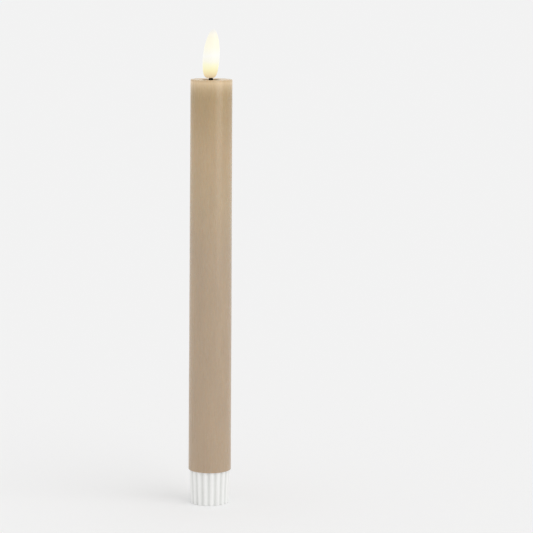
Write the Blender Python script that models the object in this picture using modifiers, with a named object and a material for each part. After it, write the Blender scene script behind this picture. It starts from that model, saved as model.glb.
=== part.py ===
"""A flameless LED taper candle: a dipped wax shell over a plastic liner tube, a moulded flame on a
black wick stem, and a fluted base that carries the two cells on a pull-out cradle.

Run with: blender --background --python part.py
Metres, +Z up. The origin is the centre of the base's underside and the flame leans towards +X.
"""

from math import asin, cos, pi, radians, sin, tau

import bmesh
import bpy
from mathutils import Matrix

MM = 0.001
GAP = 0.3 * MM  # what pieces that touch keep between their faceted surfaces

# Driving dimensions of the outside.
BASE_HEIGHT = 18.0 * MM
WAX_BOTTOM = BASE_HEIGHT + GAP
WAX_TOP = 227.7 * MM
WAX_RADIUS_BOTTOM = 11.4 * MM
WAX_RADIUS_TOP = 11.05 * MM
WICK_OFFSET = -0.3 * MM  # the wick stands this far from the candle's axis, along X
FLAME_BOTTOM = 228.5 * MM
FLAME_HEIGHT = 25.8 * MM
FLAME_RADIUS = 4.4 * MM
FLAME_BELLY = 0.38  # how far up the flame is widest
FLAME_NECK = 1.95 * MM
FLAME_FOOT_X = -0.75 * MM
FLAME_LEAN = 1.75 * MM

# The wax shell and the liner tube inside it.
WAX_BORE = 9.55 * MM
WAX_CEILING = 223.9 * MM
SHOULDER = 1.0 * MM
TOP_SAG = 0.2 * MM
DISH_RADIUS = 4.9 * MM
DISH_FLOOR_RADIUS = 4.2 * MM
DISH_DEPTH = 0.7 * MM
STEM_HOLE = 1.5 * MM
TUBE_RADIUS = 9.3 * MM
TUBE_BORE = 8.05 * MM
TUBE_BOTTOM = BASE_HEIGHT + GAP
TUBE_TOP = 222.5 * MM

# The fluted base. It tapers, so that it wedges in a candlestick's cup.
BASE_RADIUS_TOP = 10.9 * MM
BASE_RADIUS_BOTTOM = 10.2 * MM
RIBS = 18
RIB_DEPTH = 0.9 * MM
RIB_PHASE = -2.0  # degrees from +X to the first rib's crest
POINTS_PER_RIB = 8
BASE_EDGE = 0.3 * MM
BASE_BORE = 6.95 * MM
BASE_RECESS_RADIUS = 8.3 * MM
BASE_RECESS = 1.0 * MM
FLOOR_TOP = 2.6 * MM
SPIGOT_RADIUS = 7.75 * MM
SPIGOT_TOP = 25.8 * MM
SWITCH_SLOT_CLEARANCE = 0.3 * MM

# The bayonet: two lugs on the spigot, in two slots cut through the liner tube.
LUG_ANGLES = (0.0, 180.0)
LUG_REACH = 8.9 * MM
LUG_WIDTH = 2.6 * MM
LUG_BOTTOM = 22.2 * MM
LUG_TOP = 24.0 * MM
LOCK_TURN = 25.0  # degrees
SLOT_CLEARANCE = 0.5 * MM

# The cells and the cradle that holds them.
CELL_RADIUS = 5.25 * MM
CELL_LENGTH = 44.5 * MM
NUB_RADIUS = 1.9 * MM
NUB_HEIGHT = 0.9 * MM
LOWER_CELL_BOTTOM = 18.0 * MM
UPPER_CELL_BOTTOM = LOWER_CELL_BOTTOM + CELL_LENGTH + GAP
CRADLE_RADIUS = 6.65 * MM
CRADLE_BORE = 5.45 * MM
CRADLE_BOTTOM = 14.0 * MM
CRADLE_TOP = 110.2 * MM
CRADLE_WALL_UNDERSIDE = 108.4 * MM
CRADLE_GUIDE_RADIUS = 7.7 * MM
GUIDE_THICKNESS = 1.4 * MM
CRADLE_CUT = (28.0 * MM, 106.4 * MM)
CRADLE_CUT_FRONT = -1.0 * MM
STRIP_WIDTH = 2.2 * MM
STRIP_THICKNESS = 0.3 * MM
STRIP_Y = 6.25 * MM
CLIP_ANGLES = (45.0, 225.0)
CLIP_HEIGHT = 20.3 * MM
CLIP_WIDTH = 2.4 * MM
CLIP_DEPTH = 1.2 * MM
CLIP_REACH = 0.7 * MM
CLIP_CLEARANCE = 0.4 * MM

# The switch under the base and the board that carries it.
SWITCH_LENGTH = 9.0 * MM
SWITCH_WIDTH = 3.6 * MM
SWITCH_BOTTOM = FLOOR_TOP + GAP
SWITCH_TOP = 6.2 * MM
SWITCH_TRAVEL = 3.6 * MM
SLIDER_LENGTH = 3.2 * MM
SLIDER_WIDTH = 1.3 * MM
SLIDER_TOP = 4.3 * MM
KNOB_LENGTH = 1.6 * MM
KNOB_BOTTOM = 0.45 * MM
BOARD_BOTTOM = SWITCH_TOP + GAP
BOARD_TOP = BOARD_BOTTOM + 1.0 * MM
BOARD_RADIUS = 6.65 * MM
SCREW_PLACES = ((3.7 * MM, 3.7 * MM), (-3.7 * MM, -3.7 * MM))
SCREW_RADIUS = 0.7 * MM
SCREW_HEAD_RADIUS = 1.25 * MM
SCREW_POST_RADIUS = 1.4 * MM
SCREW_PILOT_RADIUS = 0.9 * MM
SCREW_SIDES = 12
SPRING_WIRE = 0.3 * MM
SPRING_TURNS = 5.5
SPRING_RADII = (3.3 * MM, 2.3 * MM)
SPRING_END_TURNS = 0.07  # how much closer together the end turns lie

# The works in the tube, above the cells.
CONTACT_Z = CRADLE_TOP + GAP
BUTTON_TOP = CONTACT_Z + 0.5 * MM
FINGER_CENTRE_X = 1.1 * MM
FINGER_SIDE_X = -4.0 * MM
FINGER_WIDTH = 1.2 * MM
FINGER_THICKNESS = 0.25 * MM
FINGER_Y = -1.4 * MM
BLOCK_BOTTOM = 113.8 * MM
BLOCK_TOP = 116.8 * MM
BLOCK_RADIUS = 7.8 * MM
RAIL_TOP = 129.0 * MM
CIRCUIT_BOTTOM = BLOCK_TOP + GAP
CIRCUIT_TOP = 165.0 * MM
CIRCUIT_WIDTH = 11.4 * MM
CIRCUIT_THICKNESS = 1.0 * MM
WIRE_RADIUS = 0.45 * MM
LEAD_RADIUS = 0.17 * MM
LEAD_SPREAD = 0.33 * MM
JOINT_SPREAD = 1.25 * MM
LED_BOTTOM = 230.6 * MM

# The plug that closes the tube and holds the wick stem.
PLUG_BOTTOM = 217.0 * MM
STEM_BOTTOM = 214.6 * MM
STEM_RADIUS = 1.2 * MM
STEM_BORE = 0.6 * MM

ROUND = 32  # sides of a large round piece
SMALL_ROUND = 16  # sides of a small round piece


# Scene, collections and materials ---------------------------------------------------------------


def clear_scene():
    for obj in list(bpy.data.objects):
        bpy.data.objects.remove(obj)


def new_collection(name):
    collection = bpy.data.collections.new(name)
    bpy.context.scene.collection.children.link(collection)
    return collection


clear_scene()
CANDLE = new_collection("led_candle")
CUTTERS = new_collection("cutters")
CUTTERS.hide_render = True


def new_material(name, color, roughness, metallic=0.0):
    material = bpy.data.materials.new(name)
    material.use_nodes = True
    shader = material.node_tree.nodes["Principled BSDF"]
    shader.inputs["Base Color"].default_value = (*color, 1.0)
    shader.inputs["Roughness"].default_value = roughness
    shader.inputs["Metallic"].default_value = metallic
    return material


WAX = new_material("taupe_wax", (0.45, 0.34, 0.22), 0.45)
FLAME = new_material("flame_silicone", (0.95, 0.86, 0.60), 0.35)
WICK = new_material("black_wick", (0.01, 0.01, 0.01), 0.6)
WHITE = new_material("white_plastic", (0.86, 0.86, 0.84), 0.4)
LINER = new_material("liner_plastic", (0.80, 0.78, 0.72), 0.5)
BOARD = new_material("circuit_board", (0.03, 0.22, 0.09), 0.5)
CHIP = new_material("black_epoxy", (0.02, 0.02, 0.02), 0.5)
NICKEL = new_material("nickel_plate", (0.75, 0.72, 0.66), 0.3, 1.0)
STEEL = new_material("bright_steel", (0.62, 0.62, 0.64), 0.3, 1.0)
LED = new_material("warm_led", (0.95, 0.80, 0.45), 0.15)
CELL = new_material("cell_jacket", (0.12, 0.30, 0.20), 0.35)
RED = new_material("red_wire", (0.55, 0.03, 0.02), 0.4)
BLACK = new_material("black_wire", (0.015, 0.015, 0.015), 0.4)


# Building blocks --------------------------------------------------------------------------------


def add_object(name, data, material=None, parent=None):
    """An object of the candle, or a hidden helper if it has no material."""
    obj = bpy.data.objects.new(name, data)
    if material is None:
        CUTTERS.objects.link(obj)
        obj.hide_render = True
        obj.display_type = "WIRE"
    else:
        CANDLE.objects.link(obj)
        data.materials.append(material)
    obj.parent = parent
    return obj


def mesh_of(bm, name):
    mesh = bpy.data.meshes.new(name)
    bm.to_mesh(mesh)
    bm.free()
    mesh.shade_smooth()
    mesh.set_sharp_from_angle(angle=radians(35))
    return mesh


def add_cylinder(bm, radius, low, high, centre=(0.0, 0.0), sides=ROUND, top_radius=None):
    place = Matrix.Translation((*centre, (low + high) / 2))
    bmesh.ops.create_cone(
        bm,
        cap_ends=True,
        segments=sides,
        radius1=radius,
        radius2=radius if top_radius is None else top_radius,
        depth=high - low,
        matrix=place,
    )


def add_box(bm, low, high, turn=0.0):
    """A box between two corners, then turned about the Z axis by turn degrees."""
    size = [h - l for l, h in zip(low, high)]
    centre = [(l + h) / 2 for l, h in zip(low, high)]
    place = Matrix.Rotation(radians(turn), 4, "Z") @ Matrix.Translation(centre)
    bmesh.ops.create_cube(bm, size=1.0, matrix=place @ Matrix.Diagonal((*size, 1.0)))


def turned_mesh(name, profile, closed):
    """The profile line that a Screw modifier turns: (radius, height) pairs, down the outer side."""
    edges = [(i, i + 1) for i in range(len(profile) - 1)]
    if closed:
        edges.append((len(profile) - 1, 0))
    mesh = bpy.data.meshes.new(name)
    mesh.from_pydata([(r, 0.0, z) for r, z in profile], edges, [])
    return mesh


def turned(name, profile, material=None, sides=ROUND, closed=True, parent=None, centre=(0, 0)):
    obj = add_object(name, turned_mesh(name, profile, closed), material, parent)
    obj.location = (*centre, 0.0)
    screw = obj.modifiers.new("Turn", "SCREW")
    screw.axis = "Z"
    screw.steps = sides
    screw.render_steps = sides
    screw.use_merge_vertices = True
    screw.merge_threshold = 0.00001
    return obj


def ring_profile(outer, inner, low, high):
    return [(outer, high), (outer, low), (inner, low), (inner, high)]


def combine(obj, operation, bm, label):
    """Joins a helper solid to obj, or cuts it away. bm may hold several closed shapes that overlap."""
    helper = add_object(f"{obj.name}_{label}", mesh_of(bm, label))
    modifier = obj.modifiers.new(label, "BOOLEAN")
    modifier.solver = "EXACT"
    modifier.operation = operation
    modifier.object = helper
    modifier.use_self = True


def join(obj, bm, label):
    combine(obj, "UNION", bm, label)


def cut(obj, bm, label):
    combine(obj, "DIFFERENCE", bm, label)


def as_mesh(obj):
    """The object again as a plain mesh, with its modifiers or its curve worked out and welded."""
    graph = bpy.context.evaluated_depsgraph_get()
    mesh = bpy.data.meshes.new_from_object(obj.evaluated_get(graph))
    bm = bmesh.new()
    bm.from_mesh(mesh)
    bmesh.ops.remove_doubles(bm, verts=bm.verts, dist=0.000005)
    bmesh.ops.recalc_face_normals(bm, faces=bm.faces)
    bpy.data.meshes.remove(mesh)
    name, place, parent = obj.name, obj.matrix_world.copy(), obj.parent
    material = obj.data.materials[0]
    bpy.data.objects.remove(obj)
    made = add_object(name, mesh_of(bm, name), material, parent)
    made.matrix_world = place
    return made


def poly_curve(name, points, material, parent=None, dimensions="3D", closed=False):
    curve = bpy.data.curves.new(name, "CURVE")
    curve.dimensions = dimensions
    spline = curve.splines.new("POLY")
    spline.points.add(len(points) - 1)
    for control, point in zip(spline.points, points):
        control.co = (*point, 1.0)
    spline.use_cyclic_u = closed
    return add_object(name, curve, material, parent)


def wire(name, points, radius, material, parent=None, resolution=2):
    obj = poly_curve(name, points, material, parent)
    obj.data.bevel_depth = radius
    obj.data.bevel_resolution = resolution
    obj.data.use_fill_caps = True
    return obj


def smooth_route(points, steps):
    """Points on a smooth curve through the given ones (Catmull-Rom), with steps between each pair."""
    ends = [points[0], *points, points[-1]]
    route = []
    for a, b, c, d in zip(ends, ends[1:], ends[2:], ends[3:]):
        for i in range(steps):
            t = i / steps
            route.append(
                tuple(
                    0.5
                    * (
                        2 * q
                        + (r - p) * t
                        + (2 * p - 5 * q + 4 * r - s) * t**2
                        + (3 * q - p - 3 * r + s) * t**3
                    )
                    for p, q, r, s in zip(a, b, c, d)
                )
            )
    return [*route, points[-1]]


def leaf(name, path, width, thickness, material, parent=None):
    """A bent metal leaf: an open ribbon along path, in the XZ plane, width deep along Y."""
    ribbon = poly_curve(name, [(x, z, 0.0) for x, z in path], material, parent)
    ribbon.data.extrude = width / 2
    ribbon.rotation_euler.x = pi / 2
    bpy.context.view_layer.update()
    ribbon = as_mesh(ribbon)
    solid = ribbon.modifiers.new("Thickness", "SOLIDIFY")
    solid.thickness = thickness
    solid.offset = 0.0
    return ribbon


def empty(name, location=(0.0, 0.0, 0.0), parent=None):
    obj = bpy.data.objects.new(name, None)
    CANDLE.objects.link(obj)
    obj.empty_display_size = 0.01
    obj.location = location
    obj.parent = parent
    return obj


# The fixed candle body --------------------------------------------------------------------------


def wax_shell(parent):
    """The dipped wax: a long shell, its top sunk to a shallow dish round the hole for the stem."""
    lip = 0.4 * MM
    shoulder_arc = [
        (
            WAX_RADIUS_TOP - SHOULDER * (1 - cos(angle)),
            WAX_TOP - SHOULDER * (1 - sin(angle)),
        )
        for angle in (radians(step) for step in (90, 60, 30, 0))
    ]
    top = WAX_TOP - TOP_SAG
    profile = [
        (0.0, top),
        (DISH_RADIUS, top),
        *shoulder_arc,
        (WAX_RADIUS_BOTTOM, WAX_BOTTOM + lip),
        (WAX_RADIUS_BOTTOM - lip, WAX_BOTTOM),
        (WAX_BORE, WAX_BOTTOM),
        (WAX_BORE, WAX_CEILING),
        (0.0, WAX_CEILING),
    ]
    shell = turned("wax_shell", profile, WAX, sides=48, closed=False, parent=parent)
    middle = (WICK_OFFSET, 0.0)
    dish = bmesh.new()
    low, high = top - DISH_DEPTH, top + DISH_DEPTH
    wide = 2 * DISH_RADIUS - DISH_FLOOR_RADIUS
    add_cylinder(dish, DISH_FLOOR_RADIUS, low, high, middle, 24, wide)
    cut(shell, dish, "dish")
    hole = bmesh.new()
    add_cylinder(hole, STEM_HOLE, WAX_CEILING - MM, WAX_TOP + MM, middle, SMALL_ROUND)
    cut(shell, hole, "stem_hole")
    return shell


def bayonet_slots():
    """Two slots from the tube's mouth: straight up, then round by the turn that locks the base."""
    bm = bmesh.new()
    half = asin((LUG_WIDTH / 2 + SLOT_CLEARANCE) / SPIGOT_RADIUS)
    low = LUG_BOTTOM - SLOT_CLEARANCE
    high = LUG_TOP + SLOT_CLEARANCE
    inner, outer = TUBE_BORE - 1.0 * MM, TUBE_RADIUS + 1.0 * MM
    steps = 7
    for angle in LUG_ANGLES:
        start = radians(angle) - half
        entry_end = radians(angle) + half
        slot_end = entry_end + radians(LOCK_TURN)
        angles = [start + (slot_end - start) * i / steps for i in range(steps + 1)]
        add_sector(bm, inner, outer, low, high, angles)
        entry = [start + (entry_end - start) * i / 3 for i in range(4)]
        add_sector(bm, inner, outer, TUBE_BOTTOM - 1.0 * MM, low + 0.5 * MM, entry)
    return bm


def add_sector(bm, inner, outer, low, high, angles):
    """A closed sector of a thick ring, between two radii and two heights."""
    rings = []
    for angle in angles:
        corners = ((inner, low), (outer, low), (outer, high), (inner, high))
        rings.append([bm.verts.new((r * cos(angle), r * sin(angle), z)) for r, z in corners])
    for near, far in zip(rings, rings[1:]):
        for i in range(4):
            j = (i + 1) % 4
            bm.faces.new((near[i], near[j], far[j], far[i]))
    bm.faces.new(rings[0][::-1])
    bm.faces.new(rings[-1])
    bmesh.ops.recalc_face_normals(bm, faces=bm.faces)


def liner_tube(parent):
    profile = ring_profile(TUBE_RADIUS, TUBE_BORE, TUBE_BOTTOM, TUBE_TOP)
    tube = turned("liner_tube", profile, LINER, sides=48, parent=parent)
    cut(tube, bayonet_slots(), "bayonet_slots")
    return tube


def top_plug(parent):
    """Closes the tube's top: a flanged cup with a boss that guides the wick stem."""
    flange, body, hollow = 9.2 * MM, 7.8 * MM, 6.6 * MM
    flange_low = TUBE_TOP + GAP
    flange_high = WAX_CEILING - GAP
    boss, bore = 2.9 * MM, STEM_RADIUS + 0.25 * MM
    web = TUBE_TOP - 1.1 * MM
    profile = [
        (0.0, flange_high),
        (flange, flange_high),
        (flange, flange_low),
        (body, flange_low),
        (body, PLUG_BOTTOM),
        (hollow, PLUG_BOTTOM),
        (hollow, web),
        (boss, web),
        (boss, PLUG_BOTTOM),
        (0.0, PLUG_BOTTOM),
    ]
    plug = turned("top_plug", profile, LINER, closed=False, parent=parent)
    hole = bmesh.new()
    ends = (PLUG_BOTTOM - MM, flange_high + MM)
    add_cylinder(hole, bore, *ends, (WICK_OFFSET, 0.0), SMALL_ROUND)
    cut(plug, hole, "stem_hole")
    return plug


def wick_stem(parent):
    """The black stem: a flange under the plug, a tube through the wax, and a thin neck in the flame."""
    flange, flange_top = 2.2 * MM, PLUG_BOTTOM - GAP
    neck, neck_top = 0.9 * MM, LED_BOTTOM - GAP
    collar_top = FLAME_BOTTOM - GAP
    profile = [
        (STEM_BORE, neck_top),
        (neck, neck_top),
        (neck, collar_top),
        (STEM_RADIUS, collar_top),
        (STEM_RADIUS, flange_top),
        (flange, flange_top),
        (flange, STEM_BOTTOM),
        (STEM_BORE, STEM_BOTTOM),
    ]
    middle = (WICK_OFFSET, 0.0)
    return turned("wick_stem", profile, WICK, sides=SMALL_ROUND, parent=parent, centre=middle)


def flame_radius(height):
    """The flame's outer radius at a height above its foot: a blunt belly under a drawn-out top."""
    t = min(1.0, height / FLAME_HEIGHT)
    if t < FLAME_BELLY:
        depth = (FLAME_BELLY - t) / FLAME_BELLY
        return max(FLAME_NECK, FLAME_RADIUS * (1 - depth**1.5) ** 0.19)
    rise = (t - FLAME_BELLY) / (1 - FLAME_BELLY)
    return FLAME_RADIUS * (1 - rise**2) ** 0.62


def flame_centre(height):
    """Where the leaning flame's centre line is along X, at a height above its foot."""
    return FLAME_FOOT_X + FLAME_LEAN * (max(0.0, height) / FLAME_HEIGHT) ** 1.3


def flame_lens(parent):
    """The hollow moulded flame, open at its neck."""
    wall = 0.75 * MM
    neck_bore, neck_height = 1.15 * MM, 0.9 * MM
    rows = 20
    outer_heights = [FLAME_HEIGHT * (1 + cos(pi * i / rows)) / 2 for i in range(1, rows + 1)]
    outer = [(flame_radius(h), FLAME_BOTTOM + h) for h in outer_heights]
    hollow_top = FLAME_HEIGHT - 2.6 * MM
    hollow_rows = 12
    rise = (hollow_top - neck_height) / hollow_rows
    inner_heights = [neck_height + rise * i for i in range(hollow_rows)]
    inner = [(flame_radius(h) - wall, FLAME_BOTTOM + h) for h in inner_heights]
    profile = [
        (0.0, FLAME_BOTTOM + FLAME_HEIGHT),
        *outer,
        (neck_bore, FLAME_BOTTOM),
        (neck_bore, FLAME_BOTTOM + neck_height),
        *inner,
        (0.0, FLAME_BOTTOM + hollow_top),
    ]
    lens = as_mesh(turned("flame_lens", profile, FLAME, sides=24, closed=False, parent=parent))
    for vertex in lens.data.vertices:
        in_neck = vertex.co.z < FLAME_BOTTOM + neck_height + 0.1 * MM
        if in_neck and vertex.co.xy.length < neck_bore + 0.1 * MM:
            vertex.co.x += WICK_OFFSET
        else:
            vertex.co.x += flame_centre(vertex.co.z - FLAME_BOTTOM)
    return lens


def led_lamp(parent):
    """A small round LED: a flange, a straight body and a dome."""
    flange, body = 1.7 * MM, 1.5 * MM
    flange_top = LED_BOTTOM + 0.9 * MM
    shoulder = LED_BOTTOM + 2.6 * MM
    dome = [
        (body * cos(angle), shoulder + body * sin(angle))
        for angle in (radians(step) for step in (60, 30, 0))
    ]
    profile = [
        (0.0, shoulder + body),
        *dome,
        (body, flange_top),
        (flange, flange_top),
        (flange, LED_BOTTOM),
        (0.0, LED_BOTTOM),
    ]
    lamp = turned("led_lamp", profile, LED, sides=SMALL_ROUND, closed=False, parent=parent)
    lamp.location.x = WICK_OFFSET
    return lamp


def led_lead(name, side, parent):
    """One leg of the LED, down the stem's bore and out to its wire joint."""
    points = [
        (WICK_OFFSET + side * LEAD_SPREAD, 0.0, LED_BOTTOM - GAP),
        (WICK_OFFSET + side * LEAD_SPREAD, 0.0, STEM_BOTTOM - 0.3 * MM),
        (side * JOINT_SPREAD, 0.0, 211.6 * MM),
        (side * JOINT_SPREAD, 0.0, 207.4 * MM),
    ]
    return wire(name, points, LEAD_RADIUS, NICKEL, parent, resolution=1)


def led_wire(name, side, material, parent):
    """An insulated wire from the circuit board's top pads up to its LED lead."""
    y_pad = -CIRCUIT_THICKNESS / 2 - GAP - WIRE_RADIUS
    route = [
        (side * 2.2 * MM, y_pad, 161.0 * MM),
        (side * 2.2 * MM, y_pad, 167.0 * MM),
        (side * 2.9 * MM, 0.3 * MM, 177.0 * MM),
        (side * 1.7 * MM, 1.1 * MM, 188.0 * MM),
        (side * 1.3 * MM, 0.2 * MM, 198.0 * MM),
        (side * JOINT_SPREAD, 0.0, 203.4 * MM),
        (side * JOINT_SPREAD, 0.0, 207.0 * MM),
    ]
    return wire(name, smooth_route(route, 4), WIRE_RADIUS, material, parent)


def shrink_sleeve(name, side, material, parent):
    """The heat-shrink sleeve over a wire's joint with its lead."""
    profile = ring_profile(0.95 * MM, 0.66 * MM, 204.0 * MM, 211.0 * MM)
    return turned(
        name, profile, material, sides=12, parent=parent, centre=(side * JOINT_SPREAD, 0.0)
    )


# The electronics in the tube --------------------------------------------------------------------


def contact_block(parent):
    """A moulded disc fixed in the tube, with two rails that hold the circuit board upright."""
    block = add_object(
        "contact_block", bpy.data.meshes.new("contact_block"), LINER, parent
    )
    bm = bmesh.new()
    add_cylinder(bm, BLOCK_RADIUS, BLOCK_BOTTOM, BLOCK_TOP)
    bm.to_mesh(block.data)
    bm.free()
    groove_x = CIRCUIT_WIDTH / 2 + GAP
    rails = bmesh.new()
    for side in (1, -1):
        xs = sorted((side * (groove_x - 0.8 * MM), side * (groove_x + 0.9 * MM)))
        add_box(rails, (xs[0], -1.7 * MM, BLOCK_TOP - 1 * MM), (xs[1], 1.7 * MM, RAIL_TOP))
    join(block, rails, "rails")
    cuts = bmesh.new()
    half = CIRCUIT_THICKNESS / 2 + 0.2 * MM
    add_box(cuts, (-groove_x, -half, BLOCK_TOP), (groove_x, half, RAIL_TOP + 1 * MM))
    cut(block, cuts, "board_groove")
    holes = bmesh.new()
    half_x = FINGER_THICKNESS / 2 + GAP
    half_y = FINGER_WIDTH / 2 + GAP
    for x in (FINGER_CENTRE_X, FINGER_SIDE_X):
        low = (x - half_x, FINGER_Y - half_y, BLOCK_BOTTOM - 1 * MM)
        add_box(holes, low, (x + half_x, FINGER_Y + half_y, BLOCK_TOP + 0.6 * MM))
    cut(block, holes, "finger_holes")
    return block


def contact_finger(name, x, pad_top, parent):
    """A sprung leaf: from the board's foot, down through the block, and curled on to its pad."""
    touch = pad_top + GAP + FINGER_THICKNESS / 2
    path = [
        (x, CIRCUIT_BOTTOM + 2.6 * MM),
        (x, BLOCK_BOTTOM - 0.4 * MM),
        (x - 0.5 * MM, touch + 0.5 * MM),
        (x - 1.0 * MM, touch + 0.1 * MM),
        (x - 1.5 * MM, touch),
        (x - 2.2 * MM, touch + 0.5 * MM),
    ]
    finger = leaf(name, path, FINGER_WIDTH, FINGER_THICKNESS, NICKEL, parent)
    finger.location.y = FINGER_Y
    return finger


def circuit_board(parent):
    """The controller's board: its outline, with two holes at the top for the LED wires."""
    board = add_object(
        "circuit_board", bpy.data.meshes.new("circuit_board"), BOARD, parent
    )
    half_x, half_y = CIRCUIT_WIDTH / 2, CIRCUIT_THICKNESS / 2
    bm = bmesh.new()
    add_box(bm, (-half_x, -half_y, CIRCUIT_BOTTOM), (half_x, half_y, CIRCUIT_TOP))
    bm.to_mesh(board.data)
    bm.free()
    holes = bmesh.new()
    for x in (-4.3 * MM, 4.3 * MM):
        drill = bmesh.new()
        add_cylinder(drill, 0.8 * MM, -2 * MM, 2 * MM, sides=12)
        place = Matrix.Translation((x, 0.0, CIRCUIT_TOP - 2.2 * MM))
        drill.transform(place @ Matrix.Rotation(pi / 2, 4, "X"))
        scratch = bpy.data.meshes.new("drill")
        drill.to_mesh(scratch)
        drill.free()
        holes.from_mesh(scratch)
        bpy.data.meshes.remove(scratch)
    cut(board, holes, "holes")
    return board


def on_board_front(depth):
    """The Y of a component's middle when it sits on the board's front face."""
    return -CIRCUIT_THICKNESS / 2 - GAP - depth / 2


def controller_chip(parent):
    """An eight-legged controller: the epoxy body with its gull-wing legs joined on."""
    length, width, depth = 4.9 * MM, 3.9 * MM, 1.5 * MM
    centre_z = 143.0 * MM
    y = on_board_front(depth)
    body = bmesh.new()
    add_box(
        body,
        (-width / 2, y - depth / 2 + 0.15 * MM, centre_z - length / 2),
        (width / 2, y + depth / 2, centre_z + length / 2),
    )
    chip = add_object("controller_chip", mesh_of(body, "controller_chip"), CHIP, parent)
    legs = bmesh.new()
    for row in range(4):
        z = centre_z + (row - 1.5) * 1.27 * MM
        add_box(
            legs,
            (-3.0 * MM, y + 0.45 * MM, z - 0.2 * MM),
            (3.0 * MM, y + 0.65 * MM, z + 0.2 * MM),
        )
    join(chip, legs, "legs")
    return chip


def timing_crystal(parent):
    """The timer's crystal: a small can lying on the board."""
    profile = [
        (0.0, 3.0 * MM),
        (0.9 * MM, 3.0 * MM),
        (1.05 * MM, 2.8 * MM),
        (1.05 * MM, -3.0 * MM),
        (0.0, -3.0 * MM),
    ]
    can = turned("timing_crystal", profile, STEEL, sides=12, closed=False, parent=parent)
    can.location = (-3.0 * MM, on_board_front(2.1 * MM), 153.0 * MM)
    return can


def filter_capacitor(parent):
    """A radial electrolytic capacitor, lying along the board near its foot."""
    radius = 2.0 * MM
    profile = [
        (0.0, 3.4 * MM),
        (radius - 0.3 * MM, 3.4 * MM),
        (radius, 3.1 * MM),
        (radius, -2.5 * MM),
        (radius - 0.25 * MM, -2.8 * MM),
        (radius, -3.1 * MM),
        (radius - 0.2 * MM, -3.4 * MM),
        (0.0, -3.4 * MM),
    ]
    can = turned("filter_capacitor", profile, CHIP, sides=16, closed=False, parent=parent)
    can.location = (0.0, on_board_front(2 * radius), 133.5 * MM)
    return can


def led_resistor(parent):
    """The LED's series resistor: a chip resistor on the board's face."""
    size = (1.25 * MM, 0.55 * MM, 2.0 * MM)
    bm = bmesh.new()
    add_box(bm, [-s / 2 for s in size], [s / 2 for s in size])
    part = add_object("led_resistor", mesh_of(bm, "led_resistor"), CHIP, parent)
    part.location = (3.2 * MM, on_board_front(size[1]), 153.0 * MM)
    return part


# The cells --------------------------------------------------------------------------------------


def cell(name, bottom, parent):
    """An AAA cell with its positive nub up."""
    edge = 0.35 * MM
    shoulder = bottom + CELL_LENGTH - NUB_HEIGHT
    profile = [
        (0.0, bottom + CELL_LENGTH),
        (NUB_RADIUS - 0.2 * MM, bottom + CELL_LENGTH),
        (NUB_RADIUS, bottom + CELL_LENGTH - 0.2 * MM),
        (NUB_RADIUS, shoulder),
        (CELL_RADIUS - edge, shoulder),
        (CELL_RADIUS, shoulder - edge),
        (CELL_RADIUS, bottom + edge),
        (CELL_RADIUS - edge, bottom),
        (0.0, bottom),
    ]
    return turned(name, profile, CELL, closed=False, parent=parent)


# The holder: base, cradle, contacts and switch --------------------------------------------------


def rib_outline(crest):
    """The base's fluted outline, rib crests at the given radius."""
    count = RIBS * POINTS_PER_RIB
    middle = crest - RIB_DEPTH / 2
    points = []
    for i in range(count):
        turn = tau * i / count
        radius = middle + RIB_DEPTH / 2 * cos(RIBS * turn)
        angle = turn + radians(RIB_PHASE)
        points.append((radius * cos(angle), radius * sin(angle), 0.0))
    return points


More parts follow.
